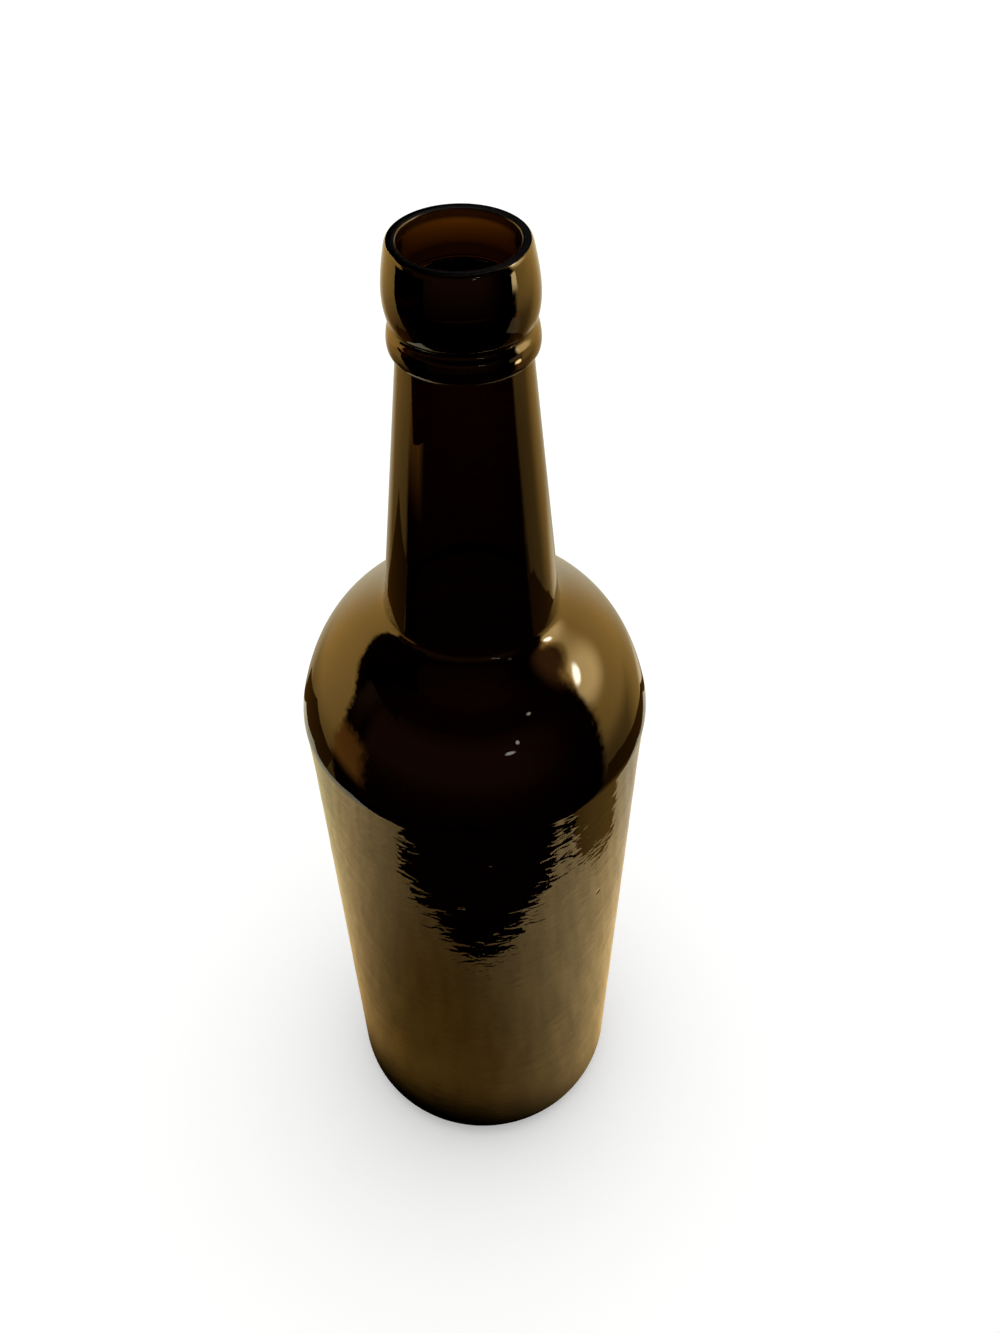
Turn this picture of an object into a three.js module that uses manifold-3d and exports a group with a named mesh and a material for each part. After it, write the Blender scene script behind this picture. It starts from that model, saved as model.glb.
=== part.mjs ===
// A mouth-blown cylinder bottle for spirits, in dark olive-amber glass, open at the mouth.
// It is made of two pieces of glass: the blown body with its shoulder and neck, and the finish,
// a ring of glass laid round the neck's end and tooled into a collar below and a lip above.
// Millimetres, Z up. The bottle stands on z = 0 with its axis on the Z axis.
import * as THREE from "three";
import { mergeVertices } from "three/addons/utils/BufferGeometryUtils.js";
import Module from "manifold-3d";

const wasm = await Module();
wasm.setup();

// Heights, stacked from the standing ring upwards
const BODY_HEIGHT = 168.3; // standing ring to mould line
const SHOULDER_HEIGHT = 32.5; // mould line to the root of the neck
const NECK_LENGTH = 60.6; // root of the neck to the foot of the collar
const COLLAR_HEIGHT = 5.2; // foot of the collar to the crease above it
const LIP_HEIGHT = 14.4; // crease to the top of the lip

// Outer diameters
const FOOT_DIAMETER = 78.7; // the side just above the heel
const SIDE_DIAMETER = 79.2; // the side where it starts to swell
const MOULD_LINE_DIAMETER = 80;
const NECK_ROOT_DIAMETER = 37.4;
const NECK_TOP_DIAMETER = 24.4;
const COLLAR_DIAMETER = 27.4;
const CREASE_DIAMETER = 25.4;
const LIP_DIAMETER = 27.4;
const LIP_TOP_DIAMETER = 25.2; // where the lip's side turns over to its flat top

// Base: rounded heel, flat standing ring, pushed-up middle
const HEEL_WIDTH = 10.4;
const HEEL_HEIGHT = 9;
const STANDING_RING_WIDTH = 2.8;
const PUSH_UP_HEIGHT = 17;
const PUSH_UP_CROWN = 0.45; // share of its radius over which its top stays level
const PUSH_UP_FLARE = 0.66; // share of its radius at which its flank runs out level at the ring

// Side and shoulder: the gather swelled out over the rim of the one-piece mould
const SWELL_HEIGHT = 22;
const SWELL_TURN_DROP = 7.3; // how far below the mould line the swell turns outwards
const MOULD_LINE_ROUND = 1.2; // length of the rounding each side of the mould line
const SHOULDER_TURN = THREE.MathUtils.degToRad(12.7); // angle at which the shoulder leaves the mould line
const SHOULDER_FULLNESS = 28; // how far the shoulder keeps that direction
const NECK_ROOT_SWEEP = 5; // how far the neck keeps its own taper into the shoulder

// Glass thickness, and the hole through the neck
const SIDE_WALL = 3.6;
const NECK_ROOT_WALL = 3.2;
const BASE_WALL = 5.5;
const BORE_DIAMETER = 19.2;

// The neck's end, squeezed narrower where the finish is wrapped round it
const NECK_END_LENGTH = 11;
const NECK_END_DIAMETER = 22.6;
const NECK_SQUEEZE = 3.5; // height over which it narrows
const NECK_END_ROUND = 0.7;

// The finish: collar with a low ridge, crease, barrel-shaped lip with a flat land on top
const SEAT_CLEARANCE = 0.3;
const COLLAR_EDGE_ROUND = 0.5; // rounded lower edge
const COLLAR_WIDEST_AT = 1.7; // above its foot
const COLLAR_RIDGE_AT = 3.6;
const COLLAR_RIDGE_SET_BACK = 0.25;
const LIP_FOOT_HEIGHT = 0.9; // turn of the lip above the crease
const LIP_FOOT_DIAMETER = 26.3;
const LIP_FOOT_ROUND = 1.8; // height over which the lip's foot turns upright
const LIP_WIDEST_AT = 5; // above the crease
const LIP_FULLNESS = 3; // how far the lip's side stays upright above its widest
const LIP_TOP_ROUND = 1.3; // height over which the lip turns to its land
const LAND_WIDTH = 1;
const MOUTH_DIAMETER = 20.8;
const MOUTH_ROUND = 0.5;
const FINISH_DRIFT = 0.42; // worked by hand, so the lip's top sits this far off the axis, towards -X

// How finely each round stretch is stepped
const SIDES = 56; // flats round every turned surface
const SHOULDER_STEPS = 11;
const PUSH_UP_STEPS = 8;
const HEEL_STEPS = 7;
const INNER_HEEL_STEPS = 5;
const LIP_STEPS = 5;
const COLLAR_STEPS = 4;
const SMALL_BEND_STEPS = 3;
const NECK_END_STEPS = 2;

const SEAT_CUT_OVERRUN = 3; // how far the cut for the neck runs out below the collar's foot

// Places that follow from the sizes above
const footRadius = FOOT_DIAMETER / 2;
const sideRadius = SIDE_DIAMETER / 2;
const mouldRadius = MOULD_LINE_DIAMETER / 2;
const neckRootRadius = NECK_ROOT_DIAMETER / 2;
const neckTopRadius = NECK_TOP_DIAMETER / 2;
const boreRadius = BORE_DIAMETER / 2;
const neckEndRadius = NECK_END_DIAMETER / 2;
const neckRootZ = BODY_HEIGHT + SHOULDER_HEIGHT;
const collarFootZ = neckRootZ + NECK_LENGTH;
const neckEndZ = collarFootZ + NECK_END_LENGTH;
const creaseZ = collarFootZ + COLLAR_HEIGHT;
const lipTopZ = creaseZ + LIP_HEIGHT;

const at = (radius, height) => new THREE.Vector2(radius, height);

// Points of an arc of an ellipse, turning from one angle to another, in quarter turns from the radius
function arc(centre, width, height, fromQuarter, toQuarter, steps) {
  const quarter = Math.PI / 2;
  const turned = new THREE.EllipseCurve(
    centre.x,
    centre.y,
    width,
    height,
    fromQuarter * quarter,
    toQuarter * quarter,
    fromQuarter > toQuarter,
  );
  return turned.getPoints(steps);
}

// Points of a bend from one end to the other, pulled towards two handles
function bend(start, startHandle, endHandle, end, steps) {
  return new THREE.CubicBezierCurve(start, startHandle, endHandle, end).getPoints(steps);
}

// Points of a bend pulled towards one corner
function roundOff(start, corner, end, steps) {
  return new THREE.QuadraticBezierCurve(start, corner, end).getPoints(steps);
}

// The body's side, shoulder and neck, from the top of the heel up to the foot of the collar
function wallOutline() {
  const mouldLine = at(mouldRadius, BODY_HEIGHT);
  const swellFoot = at(sideRadius, BODY_HEIGHT - SWELL_HEIGHT);
  const swellTurn = at(sideRadius, BODY_HEIGHT - SWELL_TURN_DROP);
  const swellTop = at(mouldRadius, BODY_HEIGHT - MOULD_LINE_ROUND);
  const shoulderWay = at(-Math.sin(SHOULDER_TURN), Math.cos(SHOULDER_TURN));
  const shoulderFoot = mouldLine.clone().addScaledVector(shoulderWay, MOULD_LINE_ROUND);
  const shoulderHandle = mouldLine.clone().addScaledVector(shoulderWay, SHOULDER_FULLNESS);
  const neckRoot = at(neckRootRadius, neckRootZ);
  const neckTop = at(neckTopRadius, collarFootZ);
  const neckWay = neckTop.clone().sub(neckRoot).normalize();
  const neckHandle = neckRoot.clone().addScaledVector(neckWay, -NECK_ROOT_SWEEP);
  return [
    at(footRadius, HEEL_HEIGHT),
    ...roundOff(swellFoot, swellTurn, swellTop, SMALL_BEND_STEPS),
    ...roundOff(swellTop, mouldLine, shoulderFoot, SMALL_BEND_STEPS).slice(1),
    ...bend(shoulderFoot, shoulderHandle, neckHandle, neckRoot, SHOULDER_STEPS).slice(1),
    neckTop,
  ];
}

// The glass's thickness at a height: even up to the mould line, then thinning to the neck's bore
function wallAt(height) {
  const neckTopWall = neckTopRadius - boreRadius;
  if (height > neckRootZ) {
    return THREE.MathUtils.mapLinear(height, neckRootZ, collarFootZ, NECK_ROOT_WALL, neckTopWall);
  }
  const climb = Math.max(height - BODY_HEIGHT, 0) / SHOULDER_HEIGHT;
  return THREE.MathUtils.lerp(SIDE_WALL, NECK_ROOT_WALL, climb);
}

// The inner face of a wall: each point of its outer face moved in by the thickness, square to the face
function innerFace(outline) {
  return outline.map((point, i) => {
    const before = outline[Math.max(i - 1, 0)];
    const after = outline[Math.min(i + 1, outline.length - 1)];
    const along = after.clone().sub(before).normalize();
    const inwards = at(-along.y, along.x);
    return point.clone().addScaledVector(inwards, wallAt(point.y));
  });
}

// The domed middle of the base, from the axis outwards, for its underside and for the floor over it
function pushUp(edge, top) {
  const crown = at(edge.x * PUSH_UP_CROWN, top);
  const flare = at(edge.x * PUSH_UP_FLARE, edge.y);
  return bend(at(0, top), crown, flare, edge, PUSH_UP_STEPS);
}

// The neck narrowing above the collar's foot, or the seat round it with its clearance
function neckSqueeze(clearance) {
  const wide = neckTopRadius + clearance;
  const narrow = neckEndRadius + clearance;
  const middleZ = collarFootZ + NECK_SQUEEZE / 2;
  return bend(
    at(wide, collarFootZ),
    at(wide, middleZ),
    at(narrow, middleZ),
    at(narrow, collarFootZ + NECK_SQUEEZE),
    SMALL_BEND_STEPS,
  );
}

// The rounded rim of the neck's end, from its outer side over to its bore
function neckEndRim() {
  const rimZ = neckEndZ - NECK_END_ROUND;
  const outer = at(neckEndRadius - NECK_END_ROUND, rimZ);
  const inner = at(boreRadius + NECK_END_ROUND, rimZ);
  return [
    ...arc(outer, NECK_END_ROUND, NECK_END_ROUND, 0, 1, NECK_END_STEPS),
    ...arc(inner, NECK_END_ROUND, NECK_END_ROUND, 1, 2, NECK_END_STEPS),
  ];
}

// A solid of revolution about Z, from a profile of radii and heights
function turnedGeometry(profile) {
  const geometry = new THREE.LatheGeometry(profile, SIDES);
  geometry.rotateX(Math.PI / 2);
  return geometry;
}

// The blown piece: push-up, heel, side, shoulder and neck as one open shell
function blownBody() {
  const outline = wallOutline();
  const ringOuter = footRadius - HEEL_WIDTH;
  const ringInner = ringOuter - STANDING_RING_WIDTH;
  const heel = arc(at(ringOuter, HEEL_HEIGHT), HEEL_WIDTH, HEEL_HEIGHT, -1, 0, HEEL_STEPS);
  const innerWall = innerFace(outline).reverse();
  const innerFoot = innerWall.pop();
  const floorEdge = at(ringOuter, BASE_WALL);
  const innerHeel = arc(
    at(floorEdge.x, floorEdge.y + HEEL_HEIGHT),
    innerFoot.x - floorEdge.x,
    HEEL_HEIGHT,
    0,
    -1,
    INNER_HEEL_STEPS,
  );
  return turnedGeometry([
    ...pushUp(at(ringInner, 0), PUSH_UP_HEIGHT),
    ...heel,
    ...outline.slice(1),
    ...neckSqueeze(0).slice(1),
    ...neckEndRim(),
    ...innerWall,
    ...innerHeel,
    ...pushUp(floorEdge, PUSH_UP_HEIGHT + BASE_WALL).reverse().slice(1),
  ]);
}

// The collar's outer side, from its foot up to the crease
function collarSide() {
  const radius = COLLAR_DIAMETER / 2;
  return [
    ...roundOff(
      at(radius - COLLAR_EDGE_ROUND, collarFootZ),
      at(radius, collarFootZ),
      at(radius, collarFootZ + COLLAR_WIDEST_AT),
      COLLAR_STEPS,
    ),
    at(radius - COLLAR_RIDGE_SET_BACK, collarFootZ + COLLAR_RIDGE_AT),
    at(CREASE_DIAMETER / 2, creaseZ),
  ];
}

// The lip's barrel-shaped side, its flat land and the round of the mouth
function lipSide() {
  const radius = LIP_DIAMETER / 2;
  const mouthRadius = MOUTH_DIAMETER / 2;
  const foot = at(LIP_FOOT_DIAMETER / 2, creaseZ + LIP_FOOT_HEIGHT);
  const footCorner = at(radius, foot.y + LIP_FOOT_ROUND);
  const widest = at(radius, creaseZ + LIP_WIDEST_AT);
  const sideCorner = at(radius, widest.y + LIP_FULLNESS);
  const turn = at(LIP_TOP_DIAMETER / 2, lipTopZ - LIP_TOP_ROUND);
  const lean = (radius - turn.x) / (turn.y - sideCorner.y);
  const topCorner = at(turn.x - lean * LIP_TOP_ROUND, lipTopZ);
  const landInner = at(mouthRadius + MOUTH_ROUND, lipTopZ);
  const landOuter = at(landInner.x + LAND_WIDTH, lipTopZ);
  const mouthEdge = at(mouthRadius, lipTopZ - MOUTH_ROUND);
  return [
    ...roundOff(foot, footCorner, widest, LIP_STEPS),
    ...roundOff(widest, sideCorner, turn, LIP_STEPS).slice(1),
    ...roundOff(turn, topCorner, landOuter, SMALL_BEND_STEPS).slice(1),
    ...roundOff(landInner, at(mouthRadius, lipTopZ), mouthEdge, SMALL_BEND_STEPS),
  ];
}

// The finish's closed profile, before the neck's seat is cut in it
function finishProfile() {
  const boreFoot = at(boreRadius, collarFootZ);
  const boreTop = at(boreRadius, neckEndZ + SEAT_CLEARANCE);
  return [boreFoot, ...collarSide(), ...lipSide(), boreTop, boreFoot.clone()];
}

// The room that the neck takes up inside the finish, with the seat's clearance all round
function seatProfile() {
  const taper = (neckRootRadius - neckTopRadius) / NECK_LENGTH;
  const cutZ = collarFootZ - SEAT_CUT_OVERRUN;
  const seatTopZ = neckEndZ + SEAT_CLEARANCE;
  return [
    at(0, cutZ),
    at(neckTopRadius + taper * SEAT_CUT_OVERRUN + SEAT_CLEARANCE, cutZ),
    ...neckSqueeze(SEAT_CLEARANCE),
    at(neckEndRadius + SEAT_CLEARANCE, seatTopZ),
    at(0, seatTopZ),
  ];
}

// A closed geometry as a solid that can be cut, and back
function solidFrom(geometry) {
  geometry.deleteAttribute("normal");
  geometry.deleteAttribute("uv");
  const merged = mergeVertices(geometry);
  return new wasm.Manifold(
    new wasm.Mesh({
      numProp: 3,
      vertProperties: merged.attributes.position.array,
      triVerts: new Uint32Array(merged.index.array),
    }),
  );
}

function geometryFrom(solid) {
  const mesh = solid.getMesh();
  const geometry = new THREE.BufferGeometry();
  geometry.setAttribute("position", new THREE.BufferAttribute(mesh.vertProperties, 3));
  geometry.setIndex(new THREE.BufferAttribute(mesh.triVerts, 1));
  geometry.computeVertexNormals();
  return geometry;
}

// The laid-on piece: turned, drawn sideways from the collar's foot upwards, then seated on the neck
function appliedFinish() {
  const drift = FINISH_DRIFT / (lipTopZ - collarFootZ);
  const ring = turnedGeometry(finishProfile());
  ring.translate(0, 0, -collarFootZ);
  ring.applyMatrix4(new THREE.Matrix4().makeShear(0, 0, 0, 0, -drift, 0));
  ring.translate(0, 0, collarFootZ);
  const seat = turnedGeometry(seatProfile());
  return geometryFrom(solidFrom(ring).subtract(solidFrom(seat)));
}

function piece(name, geometry, color) {
  const glass = new THREE.MeshStandardMaterial({ color, roughness: 0.06, metalness: 0 });
  const mesh = new THREE.Mesh(geometry, glass);
  mesh.name = name;
  return mesh;
}

const bottle = new THREE.Group();
bottle.add(piece("blown_body", blownBody(), "#3d2a10"));
bottle.add(piece("applied_finish", appliedFinish(), "#4a3a16"));

export default bottle;
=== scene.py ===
import math

import bmesh
import bpy
from mathutils import Matrix, Vector, noise
from mathutils.geometry import interpolate_bezier


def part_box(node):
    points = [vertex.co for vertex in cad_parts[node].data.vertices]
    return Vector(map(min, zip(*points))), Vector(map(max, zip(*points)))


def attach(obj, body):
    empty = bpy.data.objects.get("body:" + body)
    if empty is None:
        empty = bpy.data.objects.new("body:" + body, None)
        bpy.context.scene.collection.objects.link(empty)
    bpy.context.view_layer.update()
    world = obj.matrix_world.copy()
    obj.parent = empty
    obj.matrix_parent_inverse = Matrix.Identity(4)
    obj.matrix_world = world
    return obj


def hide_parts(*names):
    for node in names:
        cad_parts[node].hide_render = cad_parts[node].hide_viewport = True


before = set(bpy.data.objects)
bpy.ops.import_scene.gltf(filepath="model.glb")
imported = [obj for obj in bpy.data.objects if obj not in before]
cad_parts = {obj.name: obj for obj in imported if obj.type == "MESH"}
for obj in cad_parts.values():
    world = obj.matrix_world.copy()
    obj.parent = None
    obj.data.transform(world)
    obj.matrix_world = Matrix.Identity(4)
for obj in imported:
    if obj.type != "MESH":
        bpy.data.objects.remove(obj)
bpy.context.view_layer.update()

# The blown body
# One open shell of dark olive-amber glass: pushed-up base, side, domed shoulder and tapered neck.
# It is blown into a cold iron mould up to the mould line, which leaves the side rippled, and free
# above it, where it stays smooth. Sizes are in millimetres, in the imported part's own frame.
MM = 0.001
body_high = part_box("blown_body")[1] / MM
finish_low, finish_high = (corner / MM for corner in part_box("applied_finish"))
MOULD_RADIUS = body_high.x
COLLAR_FOOT = finish_low.z
NECK_END = body_high.z
MOULD_LINE = 168.3
NECK_ROOT = MOULD_LINE + 32.5
FOOT_RADIUS = 39.35
SIDE_RADIUS = 39.6
NECK_ROOT_RADIUS = 18.7
NECK_TOP_RADIUS = 12.2
NECK_END_RADIUS = 11.3
BORE_RADIUS = 9.6
HEEL_WIDTH = 10.4
HEEL_HEIGHT = 9
HEEL_FULLNESS = 0.55
RING_WIDTH = 2.8
PUSH_UP = 17
PUSH_UP_CROWN = 0.45
PUSH_UP_FLARE = 0.66
SWELL_HEIGHT = 22
SWELL_TURN_DROP = 7.3
MOULD_LINE_ROUND = 1.2
SHOULDER_TURN = math.radians(12.7)
SHOULDER_FULLNESS = 28
NECK_ROOT_SWEEP = 5
SIDE_WALL = 3.6
NECK_ROOT_WALL = 3.2
BASE_WALL = 5.5
NECK_SQUEEZE = 3.5
NECK_END_ROUND = 0.7
ROUND_STEPS = 256
MERGE_WITHIN = 0.0005
RIPPLE_WIDTH = 6.5
RIPPLE_HEIGHT = 4.5
RIPPLE_DEPTH = 0.035
WAVE_LENGTH = 22
WAVE_DEPTH = 0.07
RIPPLE_FADE = 14
# The inner face is smoother, and follows only some of the outline's points
INNER_SIDE_START = 10
INNER_SIDE_STRIDE = 8
INNER_UPPER_STRIDE = 2


def at(radius, height):
    return Vector((radius, 0, height))


def bend(start, start_handle, end_handle, end, steps):
    """Points of a bend pulled towards two handles, without its first point."""
    return interpolate_bezier(start, start_handle, end_handle, end, steps + 1)[1:]


def round_off(start, corner, end, steps):
    """Points of a bend pulled towards one corner, without its first point."""
    return bend(start, start.lerp(corner, 2 / 3), end.lerp(corner, 2 / 3), end, steps)


def straight(start, end, steps):
    """Even points on a straight line, without its first point."""
    return bend(start, start.lerp(end, 1 / 3), start.lerp(end, 2 / 3), end, steps)


def push_up(edge, top, steps):
    """The domed middle of the base, from its edge in to the axis."""
    flare = at(edge.x * PUSH_UP_FLARE, edge.z)
    crown = at(edge.x * PUSH_UP_CROWN, top)
    return bend(edge, flare, crown, at(0, top), steps)


def wall_at(height):
    """Thickness of the glass: thins a little up the shoulder, and then down to the neck's bore."""
    if height > NECK_ROOT:
        climb = (height - NECK_ROOT) / (COLLAR_FOOT - NECK_ROOT)
        return NECK_ROOT_WALL + climb * (NECK_TOP_RADIUS - BORE_RADIUS - NECK_ROOT_WALL)
    climb = max(height - MOULD_LINE, 0) / (NECK_ROOT - MOULD_LINE)
    return SIDE_WALL + climb * (NECK_ROOT_WALL - SIDE_WALL)


def inner_face(outline):
    """Each point of the outer face moved in by the thickness of the glass, square to the face."""
    moved = []
    for before, point, after in zip(outline, outline[1:], outline[2:]):
        along = (after - before).normalized()
        moved.append(point + Vector((-along.z, 0, along.x)) * wall_at(point.z))
    return moved


def turned(profile):
    """A closed surface turned round the Z axis from a line of points, in millimetres."""
    shape = bmesh.new()
    line = [shape.verts.new(point) for point in profile]
    edges = [shape.edges.new(pair) for pair in zip(line, line[1:])]
    bmesh.ops.spin(
        shape,
        geom=line + edges,
        cent=(0, 0, 0),
        axis=(0, 0, 1),
        angle=math.tau,
        steps=ROUND_STEPS,
        use_merge=True,
    )
    bmesh.ops.remove_doubles(shape, verts=shape.verts, dist=MERGE_WITHIN)
    bmesh.ops.recalc_face_normals(shape, faces=shape.faces)
    return shape


def placed(name, shape, material):
    """The shape as an object at the origin, with its material."""
    mesh = bpy.data.meshes.new(name)
    shape.to_mesh(mesh)
    shape.free()
    mesh.materials.append(material)
    piece = bpy.data.objects.new(name, mesh)
    bpy.context.scene.collection.objects.link(piece)
    return piece


def blown_glass(name, shape, material):
    """A shape in millimetres as an object in metres, smooth all over."""
    bmesh.ops.scale(shape, vec=(MM, MM, MM), verts=shape.verts)
    piece = placed(name, shape, material)
    piece.data.shade_smooth()
    return piece


foot = at(FOOT_RADIUS, HEEL_HEIGHT)
ring_outer = at(FOOT_RADIUS - HEEL_WIDTH, 0)
ring_inner = at(ring_outer.x - RING_WIDTH, 0)
mould_line = at(MOULD_RADIUS, MOULD_LINE)
swell_foot = at(SIDE_RADIUS, MOULD_LINE - SWELL_HEIGHT)
swell_turn = at(SIDE_RADIUS, MOULD_LINE - SWELL_TURN_DROP)
swell_top = at(MOULD_RADIUS, MOULD_LINE - MOULD_LINE_ROUND)
shoulder_way = at(-math.sin(SHOULDER_TURN), math.cos(SHOULDER_TURN))
shoulder_foot = mould_line + shoulder_way * MOULD_LINE_ROUND
neck_root = at(NECK_ROOT_RADIUS, NECK_ROOT)
neck_top = at(NECK_TOP_RADIUS, COLLAR_FOOT)
neck_way = (neck_top - neck_root).normalized()
squeeze_middle = COLLAR_FOOT + NECK_SQUEEZE / 2
squeeze_top = at(NECK_END_RADIUS, COLLAR_FOOT + NECK_SQUEEZE)
rim_corner = at(NECK_END_RADIUS, NECK_END)
bore_corner = at(BORE_RADIUS, NECK_END)
down_a_round = at(0, NECK_END_ROUND)
in_a_round = at(NECK_END_ROUND, 0)

side = [foot, *straight(foot, swell_foot, steps=130)]
upper = [
    *round_off(swell_foot, swell_turn, swell_top, steps=16),
    *round_off(swell_top, mould_line, shoulder_foot, steps=8),
    *bend(
        shoulder_foot,
        mould_line + shoulder_way * SHOULDER_FULLNESS,
        neck_root - neck_way * NECK_ROOT_SWEEP,
        neck_root,
        steps=44,
    ),
    *straight(neck_root, neck_top, steps=24),
]
base = [
    *reversed(push_up(ring_inner, PUSH_UP, steps=20)),
    ring_inner,
    *straight(ring_inner, ring_outer, steps=1),
    *bend(
        ring_outer,
        ring_outer + at(HEEL_WIDTH * HEEL_FULLNESS, 0),
        foot - at(0, HEEL_HEIGHT * HEEL_FULLNESS),
        foot,
        steps=12,
    )[:-1],
]
neck_end = [
    *bend(
        neck_top,
        at(NECK_TOP_RADIUS, squeeze_middle),
        at(NECK_END_RADIUS, squeeze_middle),
        squeeze_top,
        steps=5,
    ),
    *round_off(rim_corner - down_a_round, rim_corner, rim_corner - in_a_round, steps=3),
    *round_off(bore_corner + in_a_round, bore_corner, bore_corner - down_a_round, steps=3),
]
followed = [*side[INNER_SIDE_START::INNER_SIDE_STRIDE], *upper[::INNER_UPPER_STRIDE]]
inner = inner_face([foot, *followed, neck_top])
inner_foot = at(inner[0].x, BASE_WALL + HEEL_HEIGHT)
floor_edge = at(ring_outer.x, BASE_WALL)
inner_heel_width = inner_foot.x - floor_edge.x
inside = [
    *reversed(inner),
    inner_foot,
    *bend(
        inner_foot,
        inner_foot - at(0, HEEL_HEIGHT * HEEL_FULLNESS),
        at(floor_edge.x + inner_heel_width * HEEL_FULLNESS, floor_edge.z),
        floor_edge,
        steps=8,
    ),
    *push_up(floor_edge, PUSH_UP + BASE_WALL, steps=12),
]
body_shape = turned([*base, *side, *upper, *neck_end, *inside])

for vertex in body_shape.verts:
    point = vertex.co
    outer = math.hypot(point.x, point.y) > SIDE_RADIUS - SIDE_WALL / 2
    if outer and point.z < MOULD_LINE:
        room = min(point.z - HEEL_HEIGHT / 2, MOULD_LINE - MOULD_LINE_ROUND - point.z)
        share = min(max(room / RIPPLE_FADE, 0), 1)
        across = Vector((point.x / RIPPLE_WIDTH, point.y / RIPPLE_WIDTH, point.z / RIPPLE_HEIGHT))
        ripple = noise.noise(across) * RIPPLE_DEPTH
        wave = noise.noise(point / WAVE_LENGTH) * WAVE_DEPTH
        depth = share * (ripple + wave - WAVE_DEPTH / 2)
        vertex.co += Vector((point.x, point.y, 0)).normalized() * depth


def linear(code):
    """An sRGB hex colour in linear light."""
    parts = [int(code[i : i + 2], 16) / 255 for i in (1, 3, 5)]
    return [*(c / 12.92 if c <= 0.04045 else ((c + 0.055) / 1.055) ** 2.4 for c in parts), 1]


# A value that eases in and out between its two ends
SOFT = {"interpolation_type": "SMOOTHSTEP"}


def new_material(name):
    material = bpy.data.materials.new(name)
    material.use_nodes = True
    material.node_tree.nodes.clear()
    return material


def add(tree, kind, sockets=(), **settings):
    """One node with its settings; a socket takes a value, an output, or a node's first output."""
    node = tree.nodes.new("ShaderNode" + kind)
    for name, value in settings.items():
        setattr(node, name, value)
    for socket, given in dict(sockets).items():
        if isinstance(given, bpy.types.Node):
            given = next(output for output in given.outputs if output.enabled)
        if isinstance(given, bpy.types.NodeSocket):
            tree.links.new(given, node.inputs[socket])
        else:
            node.inputs[socket].default_value = given
    return node


# Blown bottle glass, coloured by iron and sulphur: almost black in the wall, amber where light gets
# through one thickness, and mirror-bright at grazing angles. The side is hammered by fine ripples
# and a few small pits, and the shoulder and neck are smooth with faint drawn cords. Where the
# finish laps the neck's end the glass is doubled, and its tint there is also darkened to near black
# as painted shade.
GLASS_TINT = "#9a7434"
GLASS_TINT_DEEP = "#8c6628"
# Near black: the tint of painted shade where the finish laps the neck's end, and deep in the mouth
GLASS_PAINTED_SHADE = "#26130a"
GLASS_ABSORBS = "#c4ab41"
GLASS_DENSITY = 1150
GLASS_IOR = 1.52
# The range of a noise texture that holds most of its values
NOISE_LOW = 0.35
NOISE_HIGH = 0.75
BLOWN_HAZE_LEAST = 0.012
BLOWN_HAZE_MOST = 0.045
HAMMER_SIZE = 2.4 * MM
HAMMER_STRETCH = 1.8
HAMMER_DEPTH = 0.062 * MM
HAMMER_STARTS = MOULD_LINE - 1
HAMMER_FULL = MOULD_LINE - 6
CORD_WIDTH = 9 * MM
PIT_SPACING = 13 * MM
PIT_SIZE = 1.1 * MM
# In times the hammer's depth
PIT_DEPTH = 7
LAPPED_STARTS = NECK_END - 8
LAPPED_FULL = NECK_END - 5

blown = new_material("blown_olive_amber_glass")
tree = blown.node_tree
place = add(tree, "TexCoord").outputs["Object"]
height = add(tree, "SeparateXYZ", {"Vector": place}).outputs["Z"]
below_mould_line = add(
    tree,
    "MapRange",
    {"Value": height, "From Min": HAMMER_STARTS * MM, "From Max": HAMMER_FULL * MM},
    **SOFT,
)
squeezed = add(
    tree,
    "Mapping",
    {"Vector": place, "Scale": (1 / HAMMER_STRETCH, 1 / HAMMER_STRETCH, 1)},
)
hammer = add(
    tree,
    "TexNoise",
    {
        "Vector": squeezed,
        "Scale": 1 / HAMMER_SIZE,
        "Detail": 1.2,
        "Roughness": 0.45,
        "Distortion": 0.8,
    },
)
pits = add(tree, "TexVoronoi", {"Vector": place, "Scale": 1 / PIT_SPACING, "Randomness": 1})
pit_floor = add(
    tree,
    "MapRange",
    {"Value": pits, "From Max": PIT_SIZE / PIT_SPACING, "To Min": -PIT_DEPTH, "To Max": 0},
    **SOFT,
)
surface = add(tree, "Math", {0: hammer, 1: pit_floor}, operation="ADD")
relief = add(tree, "Math", {0: surface, 1: below_mould_line}, operation="MULTIPLY")
hammered = add(tree, "Bump", {"Height": relief, "Strength": 1, "Distance": HAMMER_DEPTH})
cords = add(
    tree,
    "TexNoise",
    {"Vector": place, "Scale": 1 / CORD_WIDTH, "Detail": 3, "Distortion": 1.2},
)
drawn = add(
    tree,
    "Mix",
    {0: cords, 6: linear(GLASS_TINT), 7: linear(GLASS_TINT_DEEP)},
    data_type="RGBA",
)
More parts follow.
